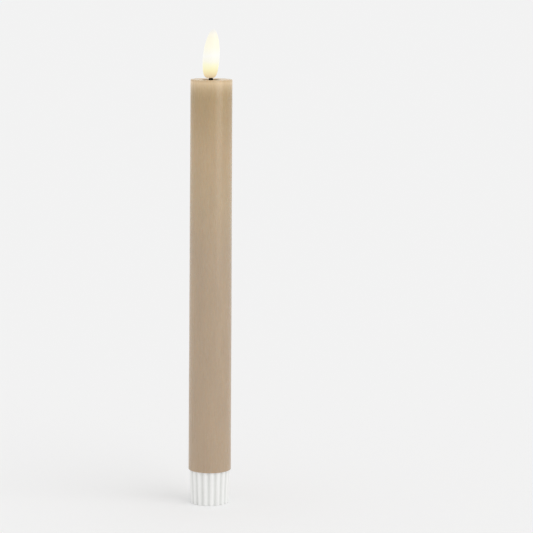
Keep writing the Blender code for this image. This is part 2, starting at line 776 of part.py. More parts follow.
def fluted_base(parent):
    """The base: a tapered fluted skirt, a floor with the switch slot, and a spigot with two lugs."""
    skirt = poly_curve(
        "fluted_base", rib_outline(BASE_RADIUS_TOP), WHITE, parent, dimensions="2D", closed=True
    )
    skirt.data.fill_mode = "BOTH"
    skirt.data.extrude = BASE_HEIGHT / 2
    bpy.context.view_layer.update()
    skirt = as_mesh(skirt)
    shrink = BASE_RADIUS_BOTTOM / BASE_RADIUS_TOP
    for vertex in skirt.data.vertices:
        if vertex.co.z < 0.0:
            vertex.co.x *= shrink
            vertex.co.y *= shrink
        vertex.co.z += BASE_HEIGHT / 2
    rounding = skirt.modifiers.new("Edges", "BEVEL")
    rounding.width = BASE_EDGE
    rounding.segments = 1
    rounding.limit_method = "ANGLE"
    rounding.angle_limit = radians(60)

    spigot = bmesh.new()
    add_cylinder(spigot, SPIGOT_RADIUS, BASE_HEIGHT - 2 * MM, SPIGOT_TOP)
    join(skirt, spigot, "spigot")

    bores = bmesh.new()
    add_cylinder(bores, BASE_BORE, FLOOR_TOP, SPIGOT_TOP + 1 * MM)
    add_cylinder(bores, BASE_RECESS_RADIUS, -1 * MM, BASE_RECESS)
    cut(skirt, bores, "bores")

    posts = bmesh.new()
    for place in SCREW_PLACES:
        ends = (FLOOR_TOP - 0.6 * MM, BOARD_BOTTOM - GAP)
        add_cylinder(posts, SCREW_POST_RADIUS, *ends, place, SCREW_SIDES)
    for angle in LUG_ANGLES:
        low = (SPIGOT_RADIUS - 0.4 * MM, -LUG_WIDTH / 2, LUG_BOTTOM)
        add_box(posts, low, (LUG_REACH, LUG_WIDTH / 2, LUG_TOP), angle)
    join(skirt, posts, "bosses_and_lugs")

    openings = bmesh.new()
    for place in SCREW_PLACES:
        ends = (FLOOR_TOP + 0.2 * MM, BOARD_BOTTOM + 1 * MM)
        add_cylinder(openings, SCREW_PILOT_RADIUS, *ends, place, SCREW_SIDES)
    slot_half = (KNOB_LENGTH + SWITCH_TRAVEL) / 2 + SWITCH_SLOT_CLEARANCE
    slot_half_width = SLIDER_WIDTH / 2 + SWITCH_SLOT_CLEARANCE
    add_box(
        openings,
        (-slot_half, -slot_half_width, BASE_RECESS - 1 * MM),
        (slot_half, slot_half_width, FLOOR_TOP + 1 * MM),
    )
    for angle in CLIP_ANGLES:
        half_width = CLIP_WIDTH / 2 + CLIP_CLEARANCE
        half_depth = CLIP_DEPTH / 2 + CLIP_CLEARANCE
        low = (BASE_BORE - 0.5 * MM, -half_width, CLIP_HEIGHT - half_depth)
        high = (SPIGOT_RADIUS + 1 * MM, half_width, CLIP_HEIGHT + half_depth)
        add_box(openings, low, high, angle)
    cut(skirt, openings, "openings")
    return skirt


def battery_cradle(parent):
    """An open trough for the two cells, with guide flanges that fit the liner tube's bore."""
    cradle = add_object(
        "battery_cradle", bpy.data.meshes.new("battery_cradle"), WHITE, parent
    )
    bm = bmesh.new()
    add_cylinder(bm, CRADLE_RADIUS, CRADLE_BOTTOM, CRADLE_TOP)
    bm.to_mesh(cradle.data)
    bm.free()
    flanges = bmesh.new()
    middle = UPPER_CELL_BOTTOM - 0.2 * MM
    for low in (SPIGOT_TOP + GAP, middle, CRADLE_TOP - GUIDE_THICKNESS):
        add_cylinder(flanges, CRADLE_GUIDE_RADIUS, low, low + GUIDE_THICKNESS)
    for angle in CLIP_ANGLES:
        low = (CRADLE_RADIUS - 0.5 * MM, -CLIP_WIDTH / 2, CLIP_HEIGHT - CLIP_DEPTH / 2)
        high = (CRADLE_RADIUS + CLIP_REACH, CLIP_WIDTH / 2, CLIP_HEIGHT + CLIP_DEPTH / 2)
        add_box(flanges, low, high, angle)
    join(cradle, flanges, "flanges_and_clips")

    hollow = bmesh.new()
    add_cylinder(hollow, CRADLE_BORE, CRADLE_BOTTOM - 1 * MM, CRADLE_WALL_UNDERSIDE)
    cut(cradle, hollow, "hollow")

    openings = bmesh.new()
    reach = CRADLE_GUIDE_RADIUS + 1 * MM
    add_box(
        openings,
        (-reach, -reach, CRADLE_CUT[0]),
        (reach, CRADLE_CUT_FRONT, CRADLE_CUT[1]),
    )
    add_cylinder(openings, 1.2 * MM, CRADLE_WALL_UNDERSIDE - 1 * MM, CRADLE_TOP + 1 * MM, sides=16)
    channel = STRIP_WIDTH / 2 + 0.25 * MM
    add_box(
        openings,
        (-channel, STRIP_Y - STRIP_THICKNESS / 2 - 0.15 * MM, CRADLE_BOTTOM - 1 * MM),
        (channel, reach, CRADLE_TOP + 1 * MM),
    )
    cut(cradle, openings, "front_and_channel")
    return cradle


def positive_contact(parent):
    """A riveted contact: a plate over the upper cell's nub and a button on the cradle's top."""
    plate_low = UPPER_CELL_BOTTOM + CELL_LENGTH + GAP
    plate_high = CRADLE_WALL_UNDERSIDE - GAP
    plate, rivet, button = 3.4 * MM, 0.9 * MM, 2.2 * MM
    profile = [
        (0.0, BUTTON_TOP),
        (button - 0.3 * MM, BUTTON_TOP),
        (button, CONTACT_Z + 0.25 * MM),
        (button, CONTACT_Z),
        (rivet, CONTACT_Z),
        (rivet, plate_high),
        (plate, plate_high),
        (plate, plate_low + 0.1 * MM),
        (plate - 0.6 * MM, plate_low),
        (0.0, plate_low),
    ]
    return turned("positive_contact", profile, NICKEL, sides=20, closed=False, parent=parent)


def negative_strip(parent):
    """The return path: a strip up the cradle's back from the switch board to a ring on its top."""
    ring_outer, ring_inner = 6.3 * MM, 4.4 * MM
    ring = turned(
        "negative_strip",
        ring_profile(ring_outer, ring_inner, CONTACT_Z, CONTACT_Z + STRIP_THICKNESS),
        NICKEL,
        sides=24,
        parent=parent,
    )
    strip = bmesh.new()
    half = STRIP_WIDTH / 2
    outside = STRIP_Y + STRIP_THICKNESS / 2
    add_box(
        strip,
        (-half, outside - STRIP_THICKNESS, BOARD_TOP + GAP),
        (half, outside, CONTACT_Z + STRIP_THICKNESS * 0.9),
    )
    add_box(
        strip,
        (-half * 0.98, 5.2 * MM, CONTACT_Z + 0.01 * MM),
        (half * 0.98, outside - 0.01 * MM, CONTACT_Z + STRIP_THICKNESS * 0.8),
    )
    join(ring, strip, "leg")
    return ring


def battery_spring(parent):
    """The conical spring under the lower cell's negative end: its wire follows a helix."""
    per_turn = 14
    low = BOARD_TOP + GAP + SPRING_WIRE
    high = LOWER_CELL_BOTTOM - GAP - SPRING_WIRE
    count = int(SPRING_TURNS * per_turn)
    points = []
    for i in range(count + 1):
        t = i / count
        angle = tau * SPRING_TURNS * t
        radius = SPRING_RADII[0] + (SPRING_RADII[1] - SPRING_RADII[0]) * t
        rise = t - SPRING_END_TURNS * sin(tau * t)
        points.append((radius * cos(angle), radius * sin(angle), low + (high - low) * rise))
    return wire("battery_spring", points, SPRING_WIRE, STEEL, parent, resolution=1)


def switch_board(parent):
    """The round board in the base that carries the spring and the slide switch."""
    bm = bmesh.new()
    add_cylinder(bm, BOARD_RADIUS, BOARD_BOTTOM, BOARD_TOP)
    board = add_object("switch_board", mesh_of(bm, "switch_board"), BOARD, parent)
    holes = bmesh.new()
    for place in SCREW_PLACES:
        ends = (BOARD_BOTTOM - MM, BOARD_TOP + MM)
        add_cylinder(holes, SCREW_RADIUS + 0.2 * MM, *ends, place, SCREW_SIDES)
    cut(board, holes, "screw_holes")
    return board


def board_screw(name, place, parent):
    """A pan-head screw that holds the switch board to its boss, with a cross recess."""
    seat = BOARD_TOP + GAP / 2
    head_top = seat + 0.9 * MM
    foot = FLOOR_TOP + 0.6 * MM
    profile = [
        (0.0, head_top),
        (SCREW_HEAD_RADIUS * 0.6, head_top),
        (SCREW_HEAD_RADIUS, head_top - 0.4 * MM),
        (SCREW_HEAD_RADIUS, seat),
        (SCREW_RADIUS, seat),
        (SCREW_RADIUS, foot + 0.6 * MM),
        (0.0, foot),
    ]
    screw = turned(name, profile, STEEL, SCREW_SIDES, closed=False, parent=parent, centre=place)
    recess = bmesh.new()
    for long_x, long_y in ((0.7 * MM, 0.16 * MM), (0.16 * MM, 0.7 * MM)):
        low = (place[0] - long_x, place[1] - long_y, head_top - 0.45 * MM)
        add_box(recess, low, (place[0] + long_x, place[1] + long_y, head_top + 0.5 * MM))
    cut(screw, recess, "recess")
    return screw


def switch_housing(parent):
    """The slide switch's metal case, hollow where its slider runs."""
    bm = bmesh.new()
    half_x, half_y = SWITCH_LENGTH / 2, SWITCH_WIDTH / 2
    add_box(bm, (-half_x, -half_y, SWITCH_BOTTOM), (half_x, half_y, SWITCH_TOP))
    case = add_object("switch_housing", mesh_of(bm, "switch_housing"), STEEL, parent)
    channel = bmesh.new()
    run = (SLIDER_LENGTH + SWITCH_TRAVEL) / 2 + 0.25 * MM
    half = SLIDER_WIDTH / 2 + 0.25 * MM
    add_box(channel, (-run, -half, SWITCH_BOTTOM - MM), (run, half, SLIDER_TOP + GAP))
    cut(case, channel, "channel")
    return case


def switch_knob(parent):
    """The slider: a block in the switch with a stub through the base's floor for a fingernail."""
    rest_x = -SWITCH_TRAVEL / 2
    half_y = SLIDER_WIDTH / 2
    half_x = SLIDER_LENGTH / 2
    block_low = SWITCH_BOTTOM + 0.1 * MM
    bm = bmesh.new()
    add_box(bm, (rest_x - half_x, -half_y, block_low), (rest_x + half_x, half_y, SLIDER_TOP))
    knob = add_object("switch_knob", mesh_of(bm, "switch_knob"), CHIP, parent)
    stub = bmesh.new()
    half_stub = KNOB_LENGTH / 2
    low = (rest_x - half_stub, -half_y * 0.98, KNOB_BOTTOM)
    add_box(stub, low, (rest_x + half_stub, half_y * 0.98, block_low + 0.5 * MM))
    join(knob, stub, "stub")
    return knob


# Assembly ---------------------------------------------------------------------------------------


def build():
    body = empty("candle_body")
    wax_shell(body)
    liner_tube(body)
    top_plug(body)
    wick_stem(body)
    flame_lens(body)
    led_lamp(body)
    for pole, side, wire_material in (("positive", 1, RED), ("negative", -1, BLACK)):
        led_lead(f"led_lead_{pole}", side, body)
        led_wire(f"led_wire_{pole}", side, wire_material, body)
        shrink_sleeve(f"shrink_sleeve_{pole}", side, wire_material, body)
    contact_block(body)
    contact_finger("contact_finger_centre", FINGER_CENTRE_X, BUTTON_TOP, body)
    contact_finger("contact_finger_side", FINGER_SIDE_X, CONTACT_Z + STRIP_THICKNESS, body)
    circuit_board(body)
    controller_chip(body)
    timing_crystal(body)
    filter_capacitor(body)
    led_resistor(body)

    pull_axis = empty("holder_pull_axis", parent=body)
    cell("cell_upper", UPPER_CELL_BOTTOM, pull_axis)
    cell("cell_lower", LOWER_CELL_BOTTOM, pull_axis)

    turn_axis = empty("base_turn_axis", parent=pull_axis)
    fluted_base(turn_axis)
    battery_cradle(turn_axis)
    positive_contact(turn_axis)
    negative_strip(turn_axis)
    battery_spring(turn_axis)
    switch_board(turn_axis)
    for side, place in zip(("right", "left"), SCREW_PLACES):
        board_screw(f"board_screw_{side}", place, turn_axis)
    switch_housing(turn_axis)

    slide_axis = empty("switch_slide_axis", parent=turn_axis)
    switch_knob(slide_axis)


build()
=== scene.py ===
from math import asin, cos, degrees, pi, radians, sin, tau

import bmesh
import bpy
from mathutils import Matrix, Vector, noise


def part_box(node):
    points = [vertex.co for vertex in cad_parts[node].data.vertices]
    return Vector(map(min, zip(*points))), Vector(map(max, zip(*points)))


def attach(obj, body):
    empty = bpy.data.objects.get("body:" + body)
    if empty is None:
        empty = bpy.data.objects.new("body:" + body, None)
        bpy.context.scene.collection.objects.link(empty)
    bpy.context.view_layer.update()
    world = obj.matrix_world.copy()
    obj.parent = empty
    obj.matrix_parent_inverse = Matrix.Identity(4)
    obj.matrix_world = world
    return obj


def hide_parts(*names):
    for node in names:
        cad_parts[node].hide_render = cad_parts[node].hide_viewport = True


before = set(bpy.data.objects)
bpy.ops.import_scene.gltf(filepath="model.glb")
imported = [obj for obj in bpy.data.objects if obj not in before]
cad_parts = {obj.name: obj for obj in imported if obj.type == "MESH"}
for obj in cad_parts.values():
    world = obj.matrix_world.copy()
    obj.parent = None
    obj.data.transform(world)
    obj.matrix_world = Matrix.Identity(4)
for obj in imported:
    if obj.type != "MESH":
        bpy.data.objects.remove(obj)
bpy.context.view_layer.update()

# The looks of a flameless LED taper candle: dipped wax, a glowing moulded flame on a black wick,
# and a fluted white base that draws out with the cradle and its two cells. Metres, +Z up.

MM = 0.001

# Places and sizes that come from the frame.
WAX_LOW, WAX_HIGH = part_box("wax_shell")
FLAME_LOW, FLAME_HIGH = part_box("flame_lens")
STEM_LOW, STEM_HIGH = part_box("wick_stem")
BASE_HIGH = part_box("fluted_base")[1]
CRADLE_LOW, CRADLE_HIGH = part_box("battery_cradle")
TUBE_LOW, TUBE_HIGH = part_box("liner_tube")
SPRING_LOW, SPRING_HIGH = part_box("battery_spring")
CONTACT_LOW, CONTACT_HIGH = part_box("positive_contact")
STRIP_LOW, STRIP_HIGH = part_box("negative_strip")
KNOB_LOW, KNOB_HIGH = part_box("switch_knob")

# The wax.
WAX_TAPER = 0.35 * MM
WAX_BORE = 9.55 * MM
WAX_CEILING = 223.9 * MM
WAX_WAVE = 0.045 * MM
SHOULDER = 1.0 * MM
TOP_SAG = 0.2 * MM
DISH_RADIUS = 4.9 * MM
DISH_FLOOR_RADIUS = 4.2 * MM
DISH_DEPTH = 0.7 * MM
STEM_HOLE = 1.5 * MM
WICK_X = (STEM_LOW.x + STEM_HIGH.x) / 2  # the wick stands a little off the candle's axis
PLUG_BOTTOM = 217.0 * MM
TUBE_BORE = 8.05 * MM
BRAID_TWIST = 2600.0  # radians for each metre of wick

# The flame: a blunt belly, a drawn-out top, and a lean towards +X.
FLAME_RADIUS = 4.4 * MM
FLAME_BELLY = 0.38
FLAME_NECK = 1.95 * MM
FLAME_WALL = 0.75 * MM
FLAME_BORE = 1.15 * MM
FLAME_NECK_HEIGHT = 0.9 * MM
FLAME_TIP_DEPTH = 2.6 * MM  # solid silicone above the hollow
FLAME_FOOT_X = -0.75 * MM
FLAME_LEAN = 1.75 * MM

# The fluted base and the cradle on it.
RIBS = 18
RIB_DEPTH = 0.9 * MM
RIB_PHASE = radians(-2.0)
SKIRT_TOP = WAX_LOW.z - 0.06 * MM
SKIRT_CREST_TOP = 10.9 * MM
SKIRT_CREST_FOOT = 10.2 * MM
SPIGOT_RADIUS = 7.75 * MM
SPIGOT_BORE = 6.95 * MM
FOOT_RECESS = 8.3 * MM
FOOT_RECESS_DEPTH = 1.0 * MM
FLOOR_TOP = 2.6 * MM
SCREW_PLACES = ((3.7 * MM, 3.7 * MM), (-3.7 * MM, -3.7 * MM))
SCREW_POST_RADIUS, SCREW_POST_TOP = 1.4 * MM, 6.2 * MM
SCREW_PILOT_RADIUS = 0.9 * MM
SWITCH_SLOT_HALF_X, SWITCH_SLOT_HALF_Y = 2.9 * MM, 0.95 * MM
LUG_ANGLES = (0.0, 180.0)
LUG_WIDTH = 2.6 * MM
LUG_BOTTOM, LUG_TOP = 22.2 * MM, 24.0 * MM
LUG_REACH = 8.9 * MM
LOCK_TURN = 25.0
SLOT_CLEARANCE = 0.5 * MM
CLIP_ANGLES = (45.0, 225.0)
CLIP_HEIGHT = 20.3 * MM
CLIP_WINDOW_HALF = 1.6 * MM
CRADLE_RADIUS = 6.65 * MM
CRADLE_BORE = 5.45 * MM
CRADLE_GUIDE = 7.7 * MM
GUIDE_THICKNESS = 1.4 * MM
MIDDLE_GUIDE = 62.6 * MM
CRADLE_WALL_UNDERSIDE = 108.4 * MM
TROUGH_LOW, TROUGH_HIGH = 28.0 * MM, 106.4 * MM
TROUGH_EDGE = -1.0 * MM
CHANNEL_HALF, CHANNEL_FLOOR = 1.35 * MM, 5.95 * MM  # where the return strip lies


# Mesh helpers -----------------------------------------------------------------------------------


def add_piece(name, mesh, body, slot_name, material, *nodes):
    """A piece that shows in place of the named CAD nodes and moves with the body."""
    obj = bpy.data.objects.new(name, mesh)
    bpy.context.scene.collection.objects.link(obj)
    obj.data.materials.clear()
    obj.data.materials.append(material)
    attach(obj, body)
    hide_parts(*nodes)
    return obj


def mesh_from(bm, name, sharp_angle=38):
    bmesh.ops.recalc_face_normals(bm, faces=bm.faces)
    mesh = bpy.data.meshes.new(name)
    bm.to_mesh(mesh)
    bm.free()
    mesh.shade_smooth()
    mesh.set_sharp_from_angle(angle=radians(sharp_angle))
    return mesh


def fillet(points, radii, steps=4, loop=True):
    """The outline with its corners rounded, all by one radius or each by its own."""
    points = [Vector((*p, 0.0)) if len(p) == 2 else Vector(p) for p in points]
    made = []
    count = len(points)
    for i, corner in enumerate(points):
        if not loop and i in (0, count - 1):
            made.append(corner)
            continue
        before = points[i - 1] - corner
        after = points[(i + 1) % count] - corner
        radius = radii[i] if isinstance(radii, list) else radii
        cut = min(radius, before.length * 0.45, after.length * 0.45)
        if cut < 1e-7:
            made.append(corner)
            continue
        start = corner + before.normalized() * cut
        end = corner + after.normalized() * cut
        for step in range(steps + 1):
            t = step / steps
            made.append(start * (1 - t) ** 2 + corner * 2 * t * (1 - t) + end * t**2)
    return made


def densify(points, longest):
    """The same open outline with points added, so that no stretch is longer than that."""
    made = [points[0]]
    for a, b in zip(points, points[1:]):
        pieces = max(1, round((b - a).length / longest))
        made += [a.lerp(b, (i + 1) / pieces) for i in range(pieces)]
    return made


def loft(rows, loop):
    """A skin over rows of points. A row of one point is a pole, where the skin closes."""
    bm = bmesh.new()
    made = [[bm.verts.new(p) for p in row] for row in rows]
    pairs = list(zip(made, made[1:]))
    if loop:
        pairs.append((made[-1], made[0]))
    for low, high in pairs:
        count = max(len(low), len(high))
        for i in range(count):
            j = (i + 1) % count
            corners = (low[i % len(low)], low[j % len(low)], high[j % len(high)], high[i % len(high)])
            bm.faces.new(list(dict.fromkeys(corners)))
    return bm


def turned(outline, sides, loop=True, shape=None):
    """The skin of an outline turned about Z. shape moves a point, from its angle and outline point."""
    rows = []
    for point in outline:
        if point[0] < 1e-7:
            rows.append([(0.0, 0.0, point[1])])
            continue
        row = []
        for i in range(sides):
            angle = tau * i / sides
            radius, height = point[0], point[1]
            if shape:
                radius, height = shape(angle, point)
            row.append((radius * cos(angle), radius * sin(angle), height))
        rows.append(row)
    return loft(rows, loop)


def add_box(bm, low, high, turn=0.0):
    size = [h - l for l, h in zip(low, high)]
    centre = [(l + h) / 2 for l, h in zip(low, high)]
    place = Matrix.Rotation(radians(turn), 4, "Z") @ Matrix.Translation(centre)
    bmesh.ops.create_cube(bm, size=1.0, matrix=place @ Matrix.Diagonal((*size, 1.0)))


def add_rod(bm, radius, low, high, centre=(0.0, 0.0), sides=48):
    place = Matrix.Translation((*centre, (low + high) / 2))
    bmesh.ops.create_cone(
        bm, cap_ends=True, segments=sides, radius1=radius, radius2=radius, depth=high - low, matrix=place
    )


def worked(bm, name, steps=(), bevel=0.0, sharp_angle=38):
    """The mesh after its Boolean steps, (operation, bmesh) pairs, and a bevel on its sharp edges."""
    scene = bpy.context.scene
    obj = bpy.data.objects.new(name, mesh_from(bm, name))
    scene.collection.objects.link(obj)
    helpers = []
    for operation, tool in steps:
        helper = bpy.data.objects.new(name + "_tool", mesh_from(tool, name + "_tool"))
        scene.collection.objects.link(helper)
        helpers.append(helper)
        modifier = obj.modifiers.new(operation, "BOOLEAN")
        modifier.solver = "EXACT"
        modifier.operation = operation
        modifier.object = helper
        modifier.use_self = True
    if bevel:
        modifier = obj.modifiers.new("Edges", "BEVEL")
        modifier.width = bevel
        modifier.segments = 2
        modifier.limit_method = "ANGLE"
        modifier.angle_limit = radians(40)
    graph = bpy.context.evaluated_depsgraph_get()
    mesh = bpy.data.meshes.new_from_object(obj.evaluated_get(graph))
    for made in (obj, *helpers):
        bpy.data.objects.remove(made)
    mesh.name = name
    mesh.materials.clear()
    mesh.shade_smooth()
    mesh.set_sharp_from_angle(angle=radians(sharp_angle))
    return mesh


def wire_mesh(name, points, radius, resolution=5):
    """A round wire along points, with its ends closed."""
    curve = bpy.data.curves.new(name, "CURVE")
    curve.dimensions = "3D"
    curve.bevel_depth = radius
    curve.bevel_resolution = resolution
    curve.use_fill_caps = True
    spline = curve.splines.new("POLY")
    spline.points.add(len(points) - 1)
    for control, point in zip(spline.points, points):
        control.co = (*point, 1.0)
    obj = bpy.data.objects.new(name, curve)
    bpy.context.scene.collection.objects.link(obj)
    graph = bpy.context.evaluated_depsgraph_get()
    mesh = bpy.data.meshes.new_from_object(obj.evaluated_get(graph))
    bpy.data.objects.remove(obj)
    bpy.data.curves.remove(curve)
    bm = bmesh.new()
    bm.from_mesh(mesh)
    bpy.data.meshes.remove(mesh)
    bmesh.ops.remove_doubles(bm, verts=bm.verts, dist=0.000005)
    return mesh_from(bm, name)


# Material helpers -------------------------------------------------------------------------------


def new_shader(name, settings):
    """A Principled material. Returns it with its node tree and its shader node."""
    material = bpy.data.materials.new(name)
    material.use_nodes = True
    shader = material.node_tree.nodes["Principled BSDF"]
    for key, value in settings.items():
        shader.inputs[key].default_value = value
    return material, material.node_tree, shader


def node(tree, kind, settings):
    """A node whose settings are its properties, its input values, or sockets to link to its inputs."""
    made = tree.nodes.new(kind)
    for key, value in settings.items():
        if isinstance(value, bpy.types.NodeSocket):
            tree.links.new(value, made.inputs[key])
        elif isinstance(key, int) or key in made.inputs:
            made.inputs[key].default_value = value
        else:
            setattr(made, key, value)
    return made


def place(tree, scale=(1.0, 1.0, 1.0)):
    """The piece's own coordinates, in metres, stretched by scale."""
    own = tree.nodes.new("ShaderNodeTexCoord").outputs["Object"]
    return node(tree, "ShaderNodeMapping", {"Vector": own, "Scale": scale}).outputs[0]


def cloud(tree, vector, scale, detail=2.0, rough=0.5):
    settings = {"Vector": vector, "Scale": scale, "Detail": detail, "Roughness": rough}
    return node(tree, "ShaderNodeTexNoise", settings).outputs[0]


def height_of(tree):
    own = tree.nodes.new("ShaderNodeTexCoord").outputs["Object"]
    return node(tree, "ShaderNodeSeparateXYZ", {"Vector": own}).outputs["Z"]


def radius_of(tree):
    """How far a point is from the piece's own Z axis."""
    across = place(tree, (1.0, 1.0, 0.0))
    return node(tree, "ShaderNodeVectorMath", {"operation": "LENGTH", 0: across}).outputs["Value"]


def span(tree, value, low, high, to_low=0.0, to_high=1.0, smooth=False):
    """value mapped from low..high to another span, and held at its ends."""
    settings = {0: value, 1: low, 2: high, 3: to_low, 4: to_high}
    if smooth:
        settings["interpolation_type"] = "SMOOTHSTEP"
    return node(tree, "ShaderNodeMapRange", settings).outputs[0]


def maths(tree, operation, a, b=0.0):
    return node(tree, "ShaderNodeMath", {"operation": operation, 0: a, 1: b}).outputs[0]


def ramp(tree, factor, stops):
    made = node(tree, "ShaderNodeValToRGB", {"Fac": factor})
    elements = made.color_ramp.elements
    while len(elements) < len(stops):
        elements.new(0.5)
    for element, (position, color) in zip(elements, stops):
        element.position = position
        element.color = (*color, 1.0)
    return made.outputs[0]


def blend(tree, factor, a, b, mode="MIX"):
    made = tree.nodes.new("ShaderNodeMix")
    made.data_type = "RGBA"
    made.blend_type = mode
    for index, value in ((0, factor), (6, a), (7, b)):
        if isinstance(value, bpy.types.NodeSocket):
            tree.links.new(value, made.inputs[index])
        elif index == 0:
            made.inputs[index].default_value = value
        else:
            made.inputs[index].default_value = (*value, 1.0)
    return made.outputs[2]


def bump(tree, height, distance, normal=None, strength=1.0):
    settings = {"Height": height, "Distance": distance, "Strength": strength}
    if normal:
        settings["Normal"] = normal
    return node(tree, "ShaderNodeBump", settings).outputs[0]


# Materials --------------------------------------------------------------------------------------


def wax_material():
    """Dipped wax: mottled taupe, with painted light: warmer towards the flame, painted shade in the dish,
    and a rim painted to glow by emission.
    """
    material, tree, shader = new_shader(
        "wax",
        {
            "IOR": 1.44,
            "Subsurface Weight": 0.25,
            "Subsurface Radius": (1.0, 0.62, 0.38),
            "Subsurface Scale": 2.2 * MM,
            "Emission Color": (1.0, 0.82, 0.62, 1.0),
        },
    )
    low, high = WAX_LOW.z, WAX_HIGH.z
    height = height_of(tree)
    # Painted light: the base colour is warmer below the rim, where the lamp's glow shows through the wax,
    # with a duller band of painted shade at the plug.
    color = ramp(
        tree,
        span(tree, height, low, high),
        [
            (0.00, (0.473, 0.357, 0.248)),
            (0.55, (0.478, 0.364, 0.251)),
            (0.70, (0.505, 0.383, 0.247)),
            (0.82, (0.516, 0.380, 0.233)),
            (0.91, (0.470, 0.341, 0.194)),
            (0.95, (0.462, 0.334, 0.184)),
            (1.00, (0.470, 0.340, 0.180)),
        ],
    )
    mottle = cloud(tree, place(tree, (1.0, 1.0, 0.22)), 150.0, 4.0, 0.6)
    mottle = ramp(tree, mottle, [(0.3, (0.92, 0.92, 0.93)), (0.5, (0.965,) * 3), (0.72, (1.0, 0.995, 0.98))])
    color = blend(tree, 1.0, color, mottle, "MULTIPLY")
    bloom = cloud(tree, place(tree), 900.0, 3.0, 0.7)
    bloom = span(tree, bloom, 0.58, 0.78, 0.0, 0.16)
    color = blend(tree, bloom, color, (0.62, 0.52, 0.42))
    # Painted shade: inside the dish round the wick the base colour is darkened to about half; outer is 1
    # outside the dish.
    outer = span(tree, radius_of(tree), DISH_RADIUS - 0.4 * MM, DISH_RADIUS + 0.6 * MM)
    color = blend(tree, outer, blend(tree, 1.0, color, (0.55, 0.52, 0.50), "MULTIPLY"), color)
    tree.links.new(color, shader.inputs["Base Color"])

    smears = cloud(tree, place(tree, (1.0, 1.0, 0.15)), 420.0, 3.0, 0.55)
    tree.links.new(span(tree, smears, 0.25, 0.75, 0.22, 0.34), shader.inputs["Roughness"])

    # Painted light: emission makes the wax rim glow, most a little below its edge, standing in for the
    # lamp's light through the wax. The dish gets none.
    glow = ramp(
        tree,
        span(tree, height, high - 9.0 * MM, high),
        [
            (0.00, (0.0,) * 3),
            (0.23, (0.025,) * 3),
            (0.47, (0.08,) * 3),
            (0.70, (0.17,) * 3),
            (0.84, (0.25,) * 3),
            (0.92, (0.19,) * 3),
            (1.00, (0.12,) * 3),
        ],
    )
    tree.links.new(maths(tree, "MULTIPLY", glow, outer), shader.inputs["Emission Strength"])

    grain = bump(tree, cloud(tree, place(tree), 2600.0, 2.0), 0.012 * MM)
    drags = cloud(tree, place(tree, (1.0, 1.0, 0.08)), 520.0, 2.0)
    drags = bump(tree, drags, 0.05 * MM, grain)
    tree.links.new(drags, shader.inputs["Normal"])
    return material


def flame_material():
    """Milky silicone lit from inside: hottest at the belly, honey-coloured at the neck."""
    material, tree, shader = new_shader(
        "flame_glow",
        {"Roughness": 0.55, "IOR": 1.38, "Emission Strength": 0.72},
    )
    low, high = FLAME_LOW.z, FLAME_HIGH.z
    rise = span(tree, height_of(tree), low, high)
    wander = span(tree, cloud(tree, place(tree), 260.0, 2.0), 0.3, 0.7, -0.02, 0.02)
    rise = maths(tree, "ADD", rise, wander)
    stops = [
        (0.00, (0.72, 0.56, 0.37)),
        (0.05, (0.80, 0.66, 0.42)),
        (0.10, (0.84, 0.74, 0.46)),
        (0.17, (0.87, 0.82, 0.52)),
        (0.25, (0.88, 0.865, 0.62)),
        (0.33, (0.87, 0.858, 0.76)),
        (0.45, (0.87, 0.868, 0.84)),
        (0.62, (0.885, 0.868, 0.74)),
        (0.80, (0.87, 0.845, 0.71)),
        (0.90, (0.86, 0.83, 0.74)),
        (0.96, (0.78, 0.775, 0.76)),
        (1.00, (0.76, 0.76, 0.77)),
    ]
    glow = ramp(tree, rise, stops)
    tree.links.new(glow, shader.inputs["Emission Color"])
    tint = blend(tree, 1.0, glow, (0.42, 0.41, 0.38), "MULTIPLY")
    tree.links.new(tint, shader.inputs["Base Color"])
    skin = bump(tree, cloud(tree, place(tree), 1800.0, 2.0), 0.006 * MM)
    tree.links.new(skin, shader.inputs["Normal"])
    return material


def plastic_material(name, low, high, rough, grain=0.006, settings=None):
    """Moulded plastic between two near tones, with a fine spark-eroded texture and faint flow marks."""
    material, tree, shader = new_shader(name, {"IOR": 1.49, **(settings or {})})
    flow = cloud(tree, place(tree, (1.0, 1.0, 0.35)), 190.0, 3.0, 0.55)
    tree.links.new(ramp(tree, flow, [(0.32, low), (0.68, high)]), shader.inputs["Base Color"])
    handling = cloud(tree, place(tree), 760.0, 3.0, 0.6)
    roughness = span(tree, handling, 0.3, 0.7, rough - 0.05, rough + 0.06)
    tree.links.new(roughness, shader.inputs["Roughness"])
    texture = bump(tree, cloud(tree, place(tree), 5200.0, 1.0), grain * MM)
    tree.links.new(texture, shader.inputs["Normal"])
    return material


def fluted_material():
    """The base's white plastic, greyer down in its flutes, where painted shade gathers."""
    tones = (0.885, 0.885, 0.87), (0.915, 0.915, 0.90)
    material = plastic_material("fluted_moulding", *tones, 0.36)
    tree = material.node_tree
    shader = tree.nodes["Principled BSDF"]
    moulding = shader.inputs["Base Color"].links[0].from_socket
    own = tree.nodes.new("ShaderNodeTexCoord").outputs["Object"]
    axes = node(tree, "ShaderNodeSeparateXYZ", {"Vector": own})
    angle = maths(tree, "ARCTAN2", axes.outputs["Y"], axes.outputs["X"])
    wave = maths(tree, "COSINE", maths(tree, "MULTIPLY", maths(tree, "SUBTRACT", angle, RIB_PHASE), RIBS))
    outside = span(tree, radius_of(tree), SPIGOT_RADIUS + 0.5 * MM, SPIGOT_RADIUS + MM)
    # Painted shade: the base colour darkens down in the flutes, outside the spigot.
    groove = maths(tree, "MULTIPLY", span(tree, wave, 0.3, -1.0), outside)
    shaded = blend(tree, 1.0, moulding, (0.83, 0.84, 0.83), "MULTIPLY")
    tree.links.new(blend(tree, groove, moulding, shaded), shader.inputs["Base Color"])
    return material


